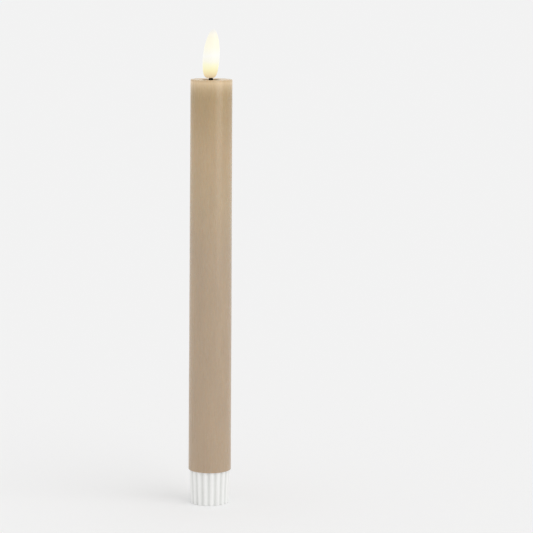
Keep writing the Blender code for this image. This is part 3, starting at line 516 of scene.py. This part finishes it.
def metal_material(name, low, high, rough, stretch=(1.0, 1.0, 1.0)):
    """Plated or bright metal with drawn lines, finger-dulled patches and slight tarnish."""
    material, tree, shader = new_shader(name, {"Metallic": 1.0})
    tarnish = cloud(tree, place(tree), 340.0, 4.0, 0.6)
    tree.links.new(ramp(tree, tarnish, [(0.3, low), (0.66, high)]), shader.inputs["Base Color"])
    lines = cloud(tree, place(tree, stretch), 3200.0, 2.0)
    tree.links.new(span(tree, lines, 0.3, 0.7, rough - 0.07, rough + 0.09), shader.inputs["Roughness"])
    tree.links.new(bump(tree, lines, 0.004 * MM), shader.inputs["Normal"])
    return material


def board_material():
    """Green solder mask: darker laminate between paler tracks, with faint paler patches."""
    material, tree, shader = new_shader("solder_mask", {"IOR": 1.52, "Coat Weight": 0.35})
    grid = node(
        tree,
        "ShaderNodeTexBrick",
        {
            "Vector": place(tree, (1.0, 1.0, 1.0)),
            "Scale": 320.0,
            "Color1": (0.012, 0.115, 0.045, 1.0),
            "Color2": (0.020, 0.150, 0.060, 1.0),
            "Mortar": (0.035, 0.230, 0.090, 1.0),
            "Mortar Size": 0.09,
            "offset": 0.5,
        },
    ).outputs[0]
    dust = cloud(tree, place(tree), 900.0, 3.0)
    color = blend(tree, span(tree, dust, 0.35, 0.75, 0.0, 0.25), grid, (0.05, 0.20, 0.10))
    tree.links.new(color, shader.inputs["Base Color"])
    tree.links.new(span(tree, dust, 0.3, 0.7, 0.28, 0.42), shader.inputs["Roughness"])
    weave = cloud(tree, place(tree), 2200.0, 1.0)
    tree.links.new(bump(tree, weave, 0.01 * MM), shader.inputs["Normal"])
    return material


def jacket_material(name, body):
    """A cell's jacket: a dark sleeve, a copper band at the positive end and a bare steel rim."""
    low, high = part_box(body)
    material, tree, shader = new_shader(name, {"IOR": 1.5, "Coat Weight": 0.3, "Coat Roughness": 0.12})
    rise = span(tree, height_of(tree), low.z, high.z)
    stops = [
        (0.000, (0.62, 0.61, 0.58)),
        (0.022, (0.62, 0.61, 0.58)),
        (0.024, (0.035, 0.038, 0.042)),
        (0.700, (0.035, 0.038, 0.042)),
        (0.702, (0.58, 0.56, 0.52)),
        (0.712, (0.58, 0.56, 0.52)),
        (0.714, (0.62, 0.30, 0.13)),
        (0.930, (0.62, 0.30, 0.13)),
        (0.932, (0.62, 0.61, 0.58)),
    ]
    bands = ramp(tree, rise, stops)
    scuffs = cloud(tree, place(tree, (1.0, 1.0, 0.12)), 1500.0, 3.0, 0.65)
    color = blend(tree, span(tree, scuffs, 0.62, 0.82, 0.0, 0.3), bands, (0.40, 0.39, 0.37))
    tree.links.new(color, shader.inputs["Base Color"])
    bare, sleeved = (0.88,) * 3, (0.15,) * 3
    stops = [(0.0, bare), (0.022, bare), (0.024, sleeved), (0.70, sleeved), (0.702, bare)]
    metal = ramp(tree, rise, stops)
    tree.links.new(metal, shader.inputs["Metallic"])
    tree.links.new(span(tree, scuffs, 0.3, 0.75, 0.22, 0.40), shader.inputs["Roughness"])
    ripple = cloud(tree, place(tree), 620.0, 2.0)
    tree.links.new(bump(tree, ripple, 0.02 * MM), shader.inputs["Normal"])
    return material


def lamp_material():
    """The LED's clear warm epoxy, lit."""
    material, tree, shader = new_shader(
        "lit_epoxy", {"Roughness": 0.18, "IOR": 1.54, "Emission Strength": 1.2}
    )
    rise = span(tree, height_of(tree), *(corner.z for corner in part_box("led_lamp")))
    core = ramp(tree, rise, [(0.0, (0.95, 0.72, 0.36)), (0.45, (1.0, 0.84, 0.52)), (1.0, (1.0, 0.95, 0.78))])
    tree.links.new(core, shader.inputs["Base Color"])
    tree.links.new(core, shader.inputs["Emission Color"])
    cast = cloud(tree, place(tree), 1400.0, 2.0)
    tree.links.new(bump(tree, cast, 0.008 * MM), shader.inputs["Normal"])
    return material


WAX = wax_material()
FLAME = flame_material()
LAMP = lamp_material()
WICK = plastic_material(
    "black_wick", (0.0004, 0.0004, 0.0004), (0.001, 0.001, 0.001), 0.93, 0.03, {"Specular IOR Level": 0.0}
)
FLUTED = fluted_material()
WHITE = plastic_material("white_moulding", (0.83, 0.825, 0.80), (0.87, 0.865, 0.84), 0.36)
LINER = plastic_material("liner_moulding", (0.74, 0.72, 0.66), (0.79, 0.77, 0.71), 0.48, 0.012)
BLACK = plastic_material("black_moulding", (0.018, 0.018, 0.019), (0.032, 0.032, 0.034), 0.46, 0.012)
EPOXY = plastic_material("epoxy_package", (0.013, 0.013, 0.014), (0.026, 0.026, 0.027), 0.55, 0.015)
SLEEVE = plastic_material("capacitor_sleeve", (0.018, 0.026, 0.070), (0.030, 0.042, 0.100), 0.30)
RED = plastic_material("red_insulation", (0.42, 0.018, 0.012), (0.52, 0.028, 0.018), 0.38, 0.02)
DARK = plastic_material("black_insulation", (0.010, 0.010, 0.011), (0.022, 0.022, 0.023), 0.38, 0.02)
NICKEL = metal_material("nickel_plate", (0.60, 0.57, 0.50), (0.74, 0.71, 0.64), 0.26)
STEEL = metal_material("bright_steel", (0.50, 0.50, 0.51), (0.66, 0.66, 0.67), 0.28, (1.0, 1.0, 0.2))
BOARD = board_material()


# The candle's body ------------------------------------------------------------------------------


def wax_body():
    """The dipped shell, very slightly wavy, with a dish round the wick and softly rounded edges."""
    bottom, top = WAX_LOW.z, WAX_HIGH.z
    wide = WAX_HIGH.x
    narrow = wide - WAX_TAPER
    sunk = top - TOP_SAG
    outline = [
        (STEM_HOLE, WAX_CEILING),
        (STEM_HOLE, sunk - DISH_DEPTH),
        (DISH_FLOOR_RADIUS, sunk - DISH_DEPTH),
        (DISH_RADIUS, sunk),
        (narrow - SHOULDER, top),
        (narrow, top),
        (narrow, top - SHOULDER),
        (wide, bottom),
        (WAX_BORE, bottom),
        (WAX_BORE, WAX_CEILING),
    ]
    rounding = (0.0, 0.2, 0.35, 0.3, 0.0, 1.0, 0.0, 0.28, 0.2, 0.0)
    outline = fillet(outline, [r * MM for r in rounding], 7)
    outline = densify([*outline, outline[0]], 2.2 * MM)[:-1]

    def wavy(angle, point):
        radius, height = point[0], point[1]
        if height < WAX_CEILING + 0.1 * MM and radius < WAX_BORE + 0.2 * MM:
            return radius, height
        around = Vector((cos(angle) * 1.6, sin(angle) * 1.6, height * 38.0))
        wave = noise.noise(around) * WAX_WAVE
        near_rim = max(0.0, 1 - (top - height) / (3.0 * MM))
        settle = noise.noise(Vector((cos(angle) * 2.4, sin(angle) * 2.4, 7.0)))
        return radius + wave * min(1.0, radius / narrow) ** 4, height + settle * near_rim * 0.09 * MM

    bm = turned(outline, 160, shape=wavy)
    for vertex in bm.verts:
        # The dish and the stem's hole lie round the wick, the outside round the candle's axis.
        share = (WAX_BORE - vertex.co.xy.length) / (WAX_BORE - DISH_RADIUS)
        vertex.co.x += WICK_X * max(0.0, min(1.0, share))
    mesh = mesh_from(bm, "wax_body", 50)
    return add_piece("wax_body", mesh, "candle", "wax", WAX, "wax_shell")


def flame_radius(t):
    """The flame's outer radius, at a share of its height: a blunt belly under a drawn-out top."""
    if t < FLAME_BELLY:
        depth = (FLAME_BELLY - t) / FLAME_BELLY
        return max(FLAME_NECK, FLAME_RADIUS * (1 - depth**1.5) ** 0.19)
    rise = (t - FLAME_BELLY) / (1 - FLAME_BELLY)
    return FLAME_RADIUS * (1 - rise**2) ** 0.62


def flame_centre(t):
    return FLAME_FOOT_X + FLAME_LEAN * t**1.3


def flame():
    """The hollow moulded flame: blunt at its foot, drawn to a soft point."""
    low, tall = FLAME_LOW.z, FLAME_HIGH.z - FLAME_LOW.z
    rows = 72
    outer = [(1 + cos(pi * i / rows)) / 2 for i in range(1, rows - 2)]
    neck_top = FLAME_NECK_HEIGHT / tall
    hollow_top = 1 - FLAME_TIP_DEPTH / tall
    inner = [neck_top + (hollow_top - neck_top) * (i / 36) for i in range(36)]
    outline = [
        (0.0, 1.0),
        *((flame_radius(t), t) for t in outer),
        (FLAME_NECK - 0.1 * MM, 0.0),
        (FLAME_BORE + 0.12 * MM, 0.0),
        (FLAME_BORE, 0.12 * MM / tall),
        (FLAME_BORE, neck_top),
        *((flame_radius(t) - FLAME_WALL, t) for t in inner),
        (0.0, hollow_top),
    ]

    rows = []
    for radius, t in outline:
        height = low + tall * t
        centre = WICK_X if radius < FLAME_BORE + 0.13 * MM and t <= neck_top else flame_centre(t)
        if radius < 1e-7:
            rows.append([(centre, 0.0, height)])
            continue
        sides = 72
        rows.append(
            [
                (centre + radius * cos(tau * i / sides), radius * sin(tau * i / sides), height)
                for i in range(sides)
            ]
        )
    mesh = mesh_from(loft(rows, loop=False), "flame", 60)
    return add_piece("flame", mesh, "candle", "flame_silicone", FLAME, "flame_lens")


def wick():
    """The black stem, moulded with the faint twist of a braided wick where it shows."""
    neck, bore, collar = 0.9 * MM, 0.6 * MM, 1.2 * MM
    flange, flange_top = STEM_HIGH.x - WICK_X, PLUG_BOTTOM - 0.3 * MM
    shown_top = FLAME_LOW.z - 0.3 * MM
    outline = [
        (bore, STEM_HIGH.z),
        (neck, STEM_HIGH.z),
        (neck, shown_top),
        (collar, shown_top),
        (collar, flange_top),
        (flange, flange_top),
        (flange, STEM_LOW.z),
        (bore, STEM_LOW.z),
    ]
    outline = fillet(outline, 0.18 * MM, 3)
    outline = densify([*outline, outline[0]], 0.4 * MM)[:-1]

    def braided(angle, point):
        radius, height = point[0], point[1]
        if radius < collar - 0.05 * MM or height < WAX_CEILING:
            return radius, height
        twist = cos(4 * angle + height * BRAID_TWIST) * cos(4 * angle - height * BRAID_TWIST)
        return radius - 0.07 * MM * (0.5 - 0.5 * twist), height

    bm = turned(outline, 48, shape=braided)
    bm.transform(Matrix.Translation((WICK_X, 0.0, 0.0)))
    mesh = mesh_from(bm, "wick", 50)
    return add_piece("wick", mesh, "candle", "wick_plastic", WICK, "wick_stem")


def sector(inner, outer, low, high, start, end, steps):
    """A closed block between two radii, two heights and two angles in degrees."""
    rows = []
    for i in range(steps + 1):
        angle = radians(start + (end - start) * i / steps)
        corners = ((inner, low), (outer, low), (outer, high), (inner, high))
        rows.append([(r * cos(angle), r * sin(angle), z) for r, z in corners])
    bm = loft(rows, loop=False)
    bm.verts.ensure_lookup_table()
    bm.faces.new(bm.verts[:4])
    bm.faces.new(bm.verts[-4:])
    return bm


def liner():
    """The liner tube with its two bayonet slots and a chamfered mouth."""
    radius, bore = TUBE_HIGH.x, TUBE_BORE
    outline = fillet(
        [(radius, TUBE_HIGH.z), (radius, TUBE_LOW.z), (bore, TUBE_LOW.z), (bore, TUBE_HIGH.z)], 0.25 * MM, 3
    )
    half = degrees(asin((LUG_WIDTH / 2 + SLOT_CLEARANCE) / SPIGOT_RADIUS))
    low, high = LUG_BOTTOM - SLOT_CLEARANCE, LUG_TOP + SLOT_CLEARANCE
    walls = (bore - MM, radius + MM)
    cuts = []
    for angle in LUG_ANGLES:
        start, end = angle - half, angle + half
        arc = sector(*walls, low, high, start, end + LOCK_TURN, 18)
        entry = sector(*walls, TUBE_LOW.z - MM, low + 0.5 * MM, start, end, 10)
        cuts += [("DIFFERENCE", arc), ("DIFFERENCE", entry)]
    mesh = worked(turned(outline, 144), "liner", cuts)
    return add_piece("liner", mesh, "candle", "liner_plastic", LINER, "liner_tube")


# The cells --------------------------------------------------------------------------------------


def cell(name, cad_node):
    """A cell: sleeve edge, crimp groove, insulating washer and a domed positive nub."""
    low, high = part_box(cad_node)
    radius, nub = high.x, 1.9 * MM
    shoulder = high.z - 0.9 * MM
    outline = [
        (nub - 0.15 * MM, high.z),
        (nub, high.z - 0.12 * MM),
        (nub + 0.02 * MM, shoulder + 0.12 * MM),
        (nub + 0.55 * MM, shoulder + 0.02 * MM),
        (nub + 0.65 * MM, shoulder - 0.12 * MM),
        (radius - 1.15 * MM, shoulder - 0.14 * MM),
        (radius - 1.0 * MM, shoulder),
        (radius - 0.3 * MM, shoulder),
        (radius - 0.05 * MM, shoulder - 0.3 * MM),
        (radius - 0.05 * MM, shoulder - 1.5 * MM),
        (radius - 0.22 * MM, shoulder - 1.75 * MM),
        (radius - 0.22 * MM, shoulder - 2.1 * MM),
        (radius, shoulder - 2.4 * MM),
        (radius, low.z + 1.0 * MM),
        (radius - 0.12 * MM, low.z + 0.85 * MM),
        (radius - 0.14 * MM, low.z + 0.3 * MM),
        (radius - 0.45 * MM, low.z),
        (radius - 1.5 * MM, low.z),
        (radius - 1.7 * MM, low.z + 0.15 * MM),
    ]
    outline = fillet([(0.0, high.z), *outline, (0.0, low.z + 0.15 * MM)], 0.14 * MM, 3, loop=False)
    mesh = mesh_from(turned(outline, 96, loop=False), name, 50)
    jacket = jacket_material(name + "_jacket", cad_node)
    return add_piece(name, mesh, "cells", "cell_jacket", jacket, cad_node)


# The holder -------------------------------------------------------------------------------------


def fluted_base():
    """The base plug: rounded ribs that run down to a scalloped foot, a recess, a spigot and lugs."""
    foot, crest = SKIRT_CREST_FOOT, SKIRT_CREST_TOP
    edge = 0.25 * MM
    # Each point is a radius, a height and how much of the rib shape it takes.
    outline = [
        (0.0, FOOT_RECESS_DEPTH, 0.0),
        (FOOT_RECESS, FOOT_RECESS_DEPTH, 0.0),
        (FOOT_RECESS, 0.0, 0.0),
        (foot, 0.0, 1.0),
        (crest, SKIRT_TOP, 1.0),
        (SPIGOT_RADIUS, SKIRT_TOP, 0.0),
        (SPIGOT_RADIUS, BASE_HIGH.z, 0.0),
        (SPIGOT_BORE, BASE_HIGH.z, 0.0),
        (SPIGOT_BORE, FLOOR_TOP, 0.0),
        (0.0, FLOOR_TOP, 0.0),
    ]
    # The rib share is scaled so that rounding treats it like a length.
    outline = [(r, z, rib * MM) for r, z, rib in outline]
    outline = densify(fillet(outline, edge, 5, loop=False), 1.6 * MM)

    def ribbed(angle, point):
        wave = 0.5 + 0.5 * cos(RIBS * (angle - RIB_PHASE))
        return point[0] - point[2] / MM * RIB_DEPTH * (1 - wave**0.75), point[1]

    skirt = turned(outline, RIBS * 16, loop=False, shape=ribbed)

    bosses = bmesh.new()
    for place_at in SCREW_PLACES:
        add_rod(bosses, SCREW_POST_RADIUS, FLOOR_TOP - 0.6 * MM, SCREW_POST_TOP, place_at, 32)
    half = LUG_WIDTH / 2
    for angle in LUG_ANGLES:
        add_box(bosses, (SPIGOT_RADIUS - 0.4 * MM, -half, LUG_BOTTOM), (LUG_REACH, half, LUG_TOP), angle)
    openings = bmesh.new()
    for place_at in SCREW_PLACES:
        add_rod(openings, SCREW_PILOT_RADIUS, FLOOR_TOP + 0.2 * MM, 7.5 * MM, place_at, 24)
    slot_x, slot_y = SWITCH_SLOT_HALF_X, SWITCH_SLOT_HALF_Y
    add_box(openings, (-slot_x, -slot_y, 0.0), (slot_x, slot_y, FLOOR_TOP + MM))
    low, high = CLIP_HEIGHT - MM, CLIP_HEIGHT + MM
    near, far = SPIGOT_BORE - 0.5 * MM, SPIGOT_RADIUS + MM
    for angle in CLIP_ANGLES:
        add_box(openings, (near, -CLIP_WINDOW_HALF, low), (far, CLIP_WINDOW_HALF, high), angle)
    mesh = worked(skirt, "base", [("UNION", bosses), ("DIFFERENCE", openings)], sharp_angle=45)
    return add_piece("base", mesh, "holder", "white_plastic", FLUTED, "fluted_base")


def cradle():
    """The battery trough: a slotted tube with guide flanges and a wall under the contacts."""
    low, high = CRADLE_LOW.z, CRADLE_HIGH.z
    flange = GUIDE_THICKNESS
    lower, middle = BASE_HIGH.z + 0.3 * MM, MIDDLE_GUIDE
    wall = CRADLE_WALL_UNDERSIDE
    outline = [(CRADLE_RADIUS, low)]
    for start in (lower, middle, high - flange):
        outline += [(CRADLE_RADIUS, start), (CRADLE_GUIDE, start), (CRADLE_GUIDE, start + flange)]
        outline.append((CRADLE_RADIUS, start + flange))
    outline[-1] = (1.2 * MM, high)
    outline += [(1.2 * MM, wall), (CRADLE_BORE, wall), (CRADLE_BORE, low)]
    outline = fillet(outline, 0.2 * MM, 3)

    clips = bmesh.new()
    near, far = CRADLE_RADIUS - 0.5 * MM, CRADLE_RADIUS + 0.7 * MM
    clip_low, clip_high = CLIP_HEIGHT - 0.6 * MM, CLIP_HEIGHT + 0.6 * MM
    for angle in CLIP_ANGLES:
        add_box(clips, (near, -1.2 * MM, clip_low), (far, 1.2 * MM, clip_high), angle)
    openings = bmesh.new()
    reach = CRADLE_GUIDE + MM
    add_box(openings, (-reach, -reach, TROUGH_LOW), (reach, TROUGH_EDGE, TROUGH_HIGH))
    add_box(openings, (-CHANNEL_HALF, CHANNEL_FLOOR, low - MM), (CHANNEL_HALF, reach, high + MM))
    mesh = worked(
        turned(outline, 120), "cradle", [("UNION", clips), ("DIFFERENCE", openings)], sharp_angle=40
    )
    return add_piece("cradle", mesh, "holder", "white_plastic", WHITE, "battery_cradle")


def rivet_contact():
    """The riveted contact: a dimpled plate below the cradle's wall and a domed button above it."""
    low, high = CONTACT_LOW.z, CONTACT_HIGH.z
    plate, rivet, button = 3.4 * MM, 0.9 * MM, 2.2 * MM
    seat, plate_high = 110.5 * MM, 108.1 * MM
    outline = [
        (0.0, high - 0.1 * MM),
        (0.7 * MM, high - 0.08 * MM),
        (1.1 * MM, high),
        (button - 0.3 * MM, high - 0.03 * MM),
        (button, seat + 0.2 * MM),
        (button, seat),
        (rivet, seat),
        (rivet, plate_high),
        (plate, plate_high),
        (plate, low + 0.12 * MM),
        (plate - 0.5 * MM, low),
        (1.6 * MM, low),
        (1.3 * MM, low + 0.1 * MM),
        (0.0, low + 0.12 * MM),
    ]
    outline = fillet(outline, 0.1 * MM, 3, loop=False)
    mesh = mesh_from(turned(outline, 72, loop=False), "rivet_contact", 40)
    return add_piece("rivet_contact", mesh, "holder", "nickel_plate", NICKEL, "positive_contact")


def return_strip():
    """The return strip up the cradle's back, bent over to a flat ring on the cradle's top."""
    thick, half = 0.3 * MM, 1.1 * MM
    face = STRIP_HIGH.y
    top = STRIP_HIGH.z
    outer, inner = 6.3 * MM, 4.4 * MM
    corners = [(outer, top), (outer, top - thick), (inner, top - thick), (inner, top)]
    ring = turned(fillet(corners, 0.08 * MM, 2), 96)
    strip = bmesh.new()
    add_box(strip, (-half, face - thick, STRIP_LOW.z), (half, face, top - 0.03 * MM))
    add_box(strip, (-half, 5.2 * MM, top - thick + 0.01 * MM), (half, face - 0.02 * MM, top - 0.05 * MM))
    mesh = worked(ring, "return_strip", [("UNION", strip)], bevel=0.05 * MM)
    return add_piece("return_strip", mesh, "holder", "nickel_plate", NICKEL, "negative_strip")


def spring():
    """The conical spring, its end turns closed up."""
    wire, turns = 0.3 * MM, 5.5
    low, high = SPRING_LOW.z + wire, SPRING_HIGH.z - wire
    wide, tight = 3.3 * MM, 2.3 * MM
    count = int(turns * 40)
    points = []
    for i in range(count + 1):
        t = i / count
        angle = tau * turns * t
        radius = wide + (tight - wide) * t
        rise = t - 0.07 * sin(tau * t)
        points.append((radius * cos(angle), radius * sin(angle), low + (high - low) * rise))
    return add_piece(
        "spring", wire_mesh("spring", points, wire), "holder", "steel", STEEL, "battery_spring"
    )


def slider():
    """The switch's slider: a stub with three grip ridges under the base."""
    low, high = KNOB_LOW.z, KNOB_HIGH.z
    middle = (KNOB_LOW.x + KNOB_HIGH.x) / 2
    half_y = KNOB_HIGH.y
    block_low = 3.0 * MM
    block = bmesh.new()
    add_box(block, (KNOB_LOW.x, -half_y, block_low), (KNOB_HIGH.x, half_y, high))
    stub = bmesh.new()
    near, far = middle - 0.8 * MM, middle + 0.8 * MM
    add_box(stub, (near, -half_y * 0.98, low), (far, half_y * 0.98, block_low + 0.5 * MM))
    grooves = bmesh.new()
    for step in (-1, 0, 1):
        x = middle + step * 0.45 * MM
        add_box(grooves, (x - 0.09 * MM, -MM, low - MM), (x + 0.09 * MM, MM, low + 0.16 * MM))
    mesh = worked(block, "slider", [("UNION", stub), ("DIFFERENCE", grooves)], bevel=0.05 * MM)
    return add_piece("slider", mesh, "switch", "knob_plastic", BLACK, "switch_knob")


# CAD nodes that show as they are, each with its finish and softened edges.
CARRIED = {
    "top_plug": LINER,
    "led_lamp": LAMP,
    "led_lead_positive": NICKEL,
    "led_lead_negative": NICKEL,
    "led_wire_positive": RED,
    "led_wire_negative": DARK,
    "shrink_sleeve_positive": RED,
    "shrink_sleeve_negative": DARK,
    "contact_block": LINER,
    "contact_finger_centre": NICKEL,
    "contact_finger_side": NICKEL,
    "circuit_board": BOARD,
    "controller_chip": EPOXY,
    "timing_crystal": STEEL,
    "filter_capacitor": SLEEVE,
    "led_resistor": EPOXY,
    "switch_board": BOARD,
    "board_screw_right": STEEL,
    "board_screw_left": STEEL,
    "switch_housing": STEEL,
}


def carry_over():
    for name, material in CARRIED.items():
        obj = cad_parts[name]
        obj.data.materials.clear()
        obj.data.materials.append(material)
        weld = obj.modifiers.new("Weld", "WELD")
        weld.merge_threshold = 0.002 * MM
        edges = obj.modifiers.new("Edges", "BEVEL")
        edges.width = 0.06 * MM
        edges.segments = 2
        edges.limit_method = "ANGLE"
        edges.angle_limit = radians(40)


# Studio -----------------------------------------------------------------------------------------


def floor():
    """A pale, level floor."""
    half = 60.0
    bm = bmesh.new()
    bmesh.ops.create_grid(bm, x_segments=1, y_segments=1, size=half)
    obj = bpy.data.objects.new("floor", mesh_from(bm, "floor"))
    bpy.context.scene.collection.objects.link(obj)
    material, _, shader = new_shader("pale_floor", {"Roughness": 0.95, "Specular IOR Level": 0.0})
    shader.inputs["Base Color"].default_value = (0.89, 0.89, 0.89, 1.0)
    obj.data.materials.append(material)


def area_light(name, place_at, aim_at, size, watts, color=(1.0, 1.0, 1.0)):
    light = bpy.data.lights.new(name, "AREA")
    light.shape = "RECTANGLE"
    light.size, light.size_y = size
    light.energy = watts
    light.color = color
    obj = bpy.data.objects.new(name, light)
    bpy.context.scene.collection.objects.link(obj)
    obj.location = place_at
    obj.rotation_mode = "QUATERNION"
    obj.rotation_quaternion = (Vector(aim_at) - Vector(place_at)).to_track_quat("-Z", "Y")
    return obj


def studio():
    """An even pale room, a soft key from the front right, and a softbox that the wax mirrors."""
    scene = bpy.context.scene
    world = bpy.data.worlds.new("studio")
    scene.world = world
    world.use_nodes = True
    background = world.node_tree.nodes["Background"]
    background.inputs["Color"].default_value = (1.0, 1.0, 1.0, 1.0)
    background.inputs["Strength"].default_value = 0.877
    key = bpy.data.lights.new("key", "SUN")
    key.energy = 0.55
    key.angle = radians(50)
    obj = bpy.data.objects.new("key", key)
    scene.collection.objects.link(obj)
    azimuth, elevation = radians(52), radians(45)
    towards = Vector(
        (sin(azimuth) * cos(elevation), -cos(azimuth) * cos(elevation), sin(elevation))
    )
    obj.rotation_mode = "QUATERNION"
    obj.rotation_quaternion = towards.to_track_quat("Z", "Y")
    turn = radians(46)
    away, level = 1.2, 0.616
    box_at = (away * sin(turn), -away * cos(turn), level)
    box = area_light("softbox", box_at, (0.0, 0.0, level), (0.70, 1.0), 7.5)
    box.visible_diffuse = False  # it makes the wax's highlight and leaves the room's light even
    scene.view_settings.view_transform = "Standard"
    scene.view_settings.look = "None"


def camera():
    """The photograph's angle: 1.3 metres away, a little above the flame, looking slightly down."""
    data = bpy.data.cameras.new("camera")
    data.sensor_width = 36.0
    data.lens = 163.95
    data.clip_start, data.clip_end = 0.05, 200.0
    obj = bpy.data.objects.new("camera", data)
    bpy.context.scene.collection.objects.link(obj)
    obj.location = (0.02975, -1.28, 0.3045)
    tilt, roll = radians(7.834), radians(0.442)
    look = Matrix.Rotation(pi / 2 - tilt, 4, "X") @ Matrix.Rotation(roll, 4, "Z")
    obj.rotation_mode = "QUATERNION"
    obj.rotation_quaternion = look.to_quaternion()
    bpy.context.scene.camera = obj


wax_body()
flame()
wick()
liner()
cell("upper_cell", "cell_upper")
cell("lower_cell", "cell_lower")
fluted_base()
cradle()
rivet_contact()
return_strip()
spring()
slider()
carry_over()
floor()
studio()
camera()
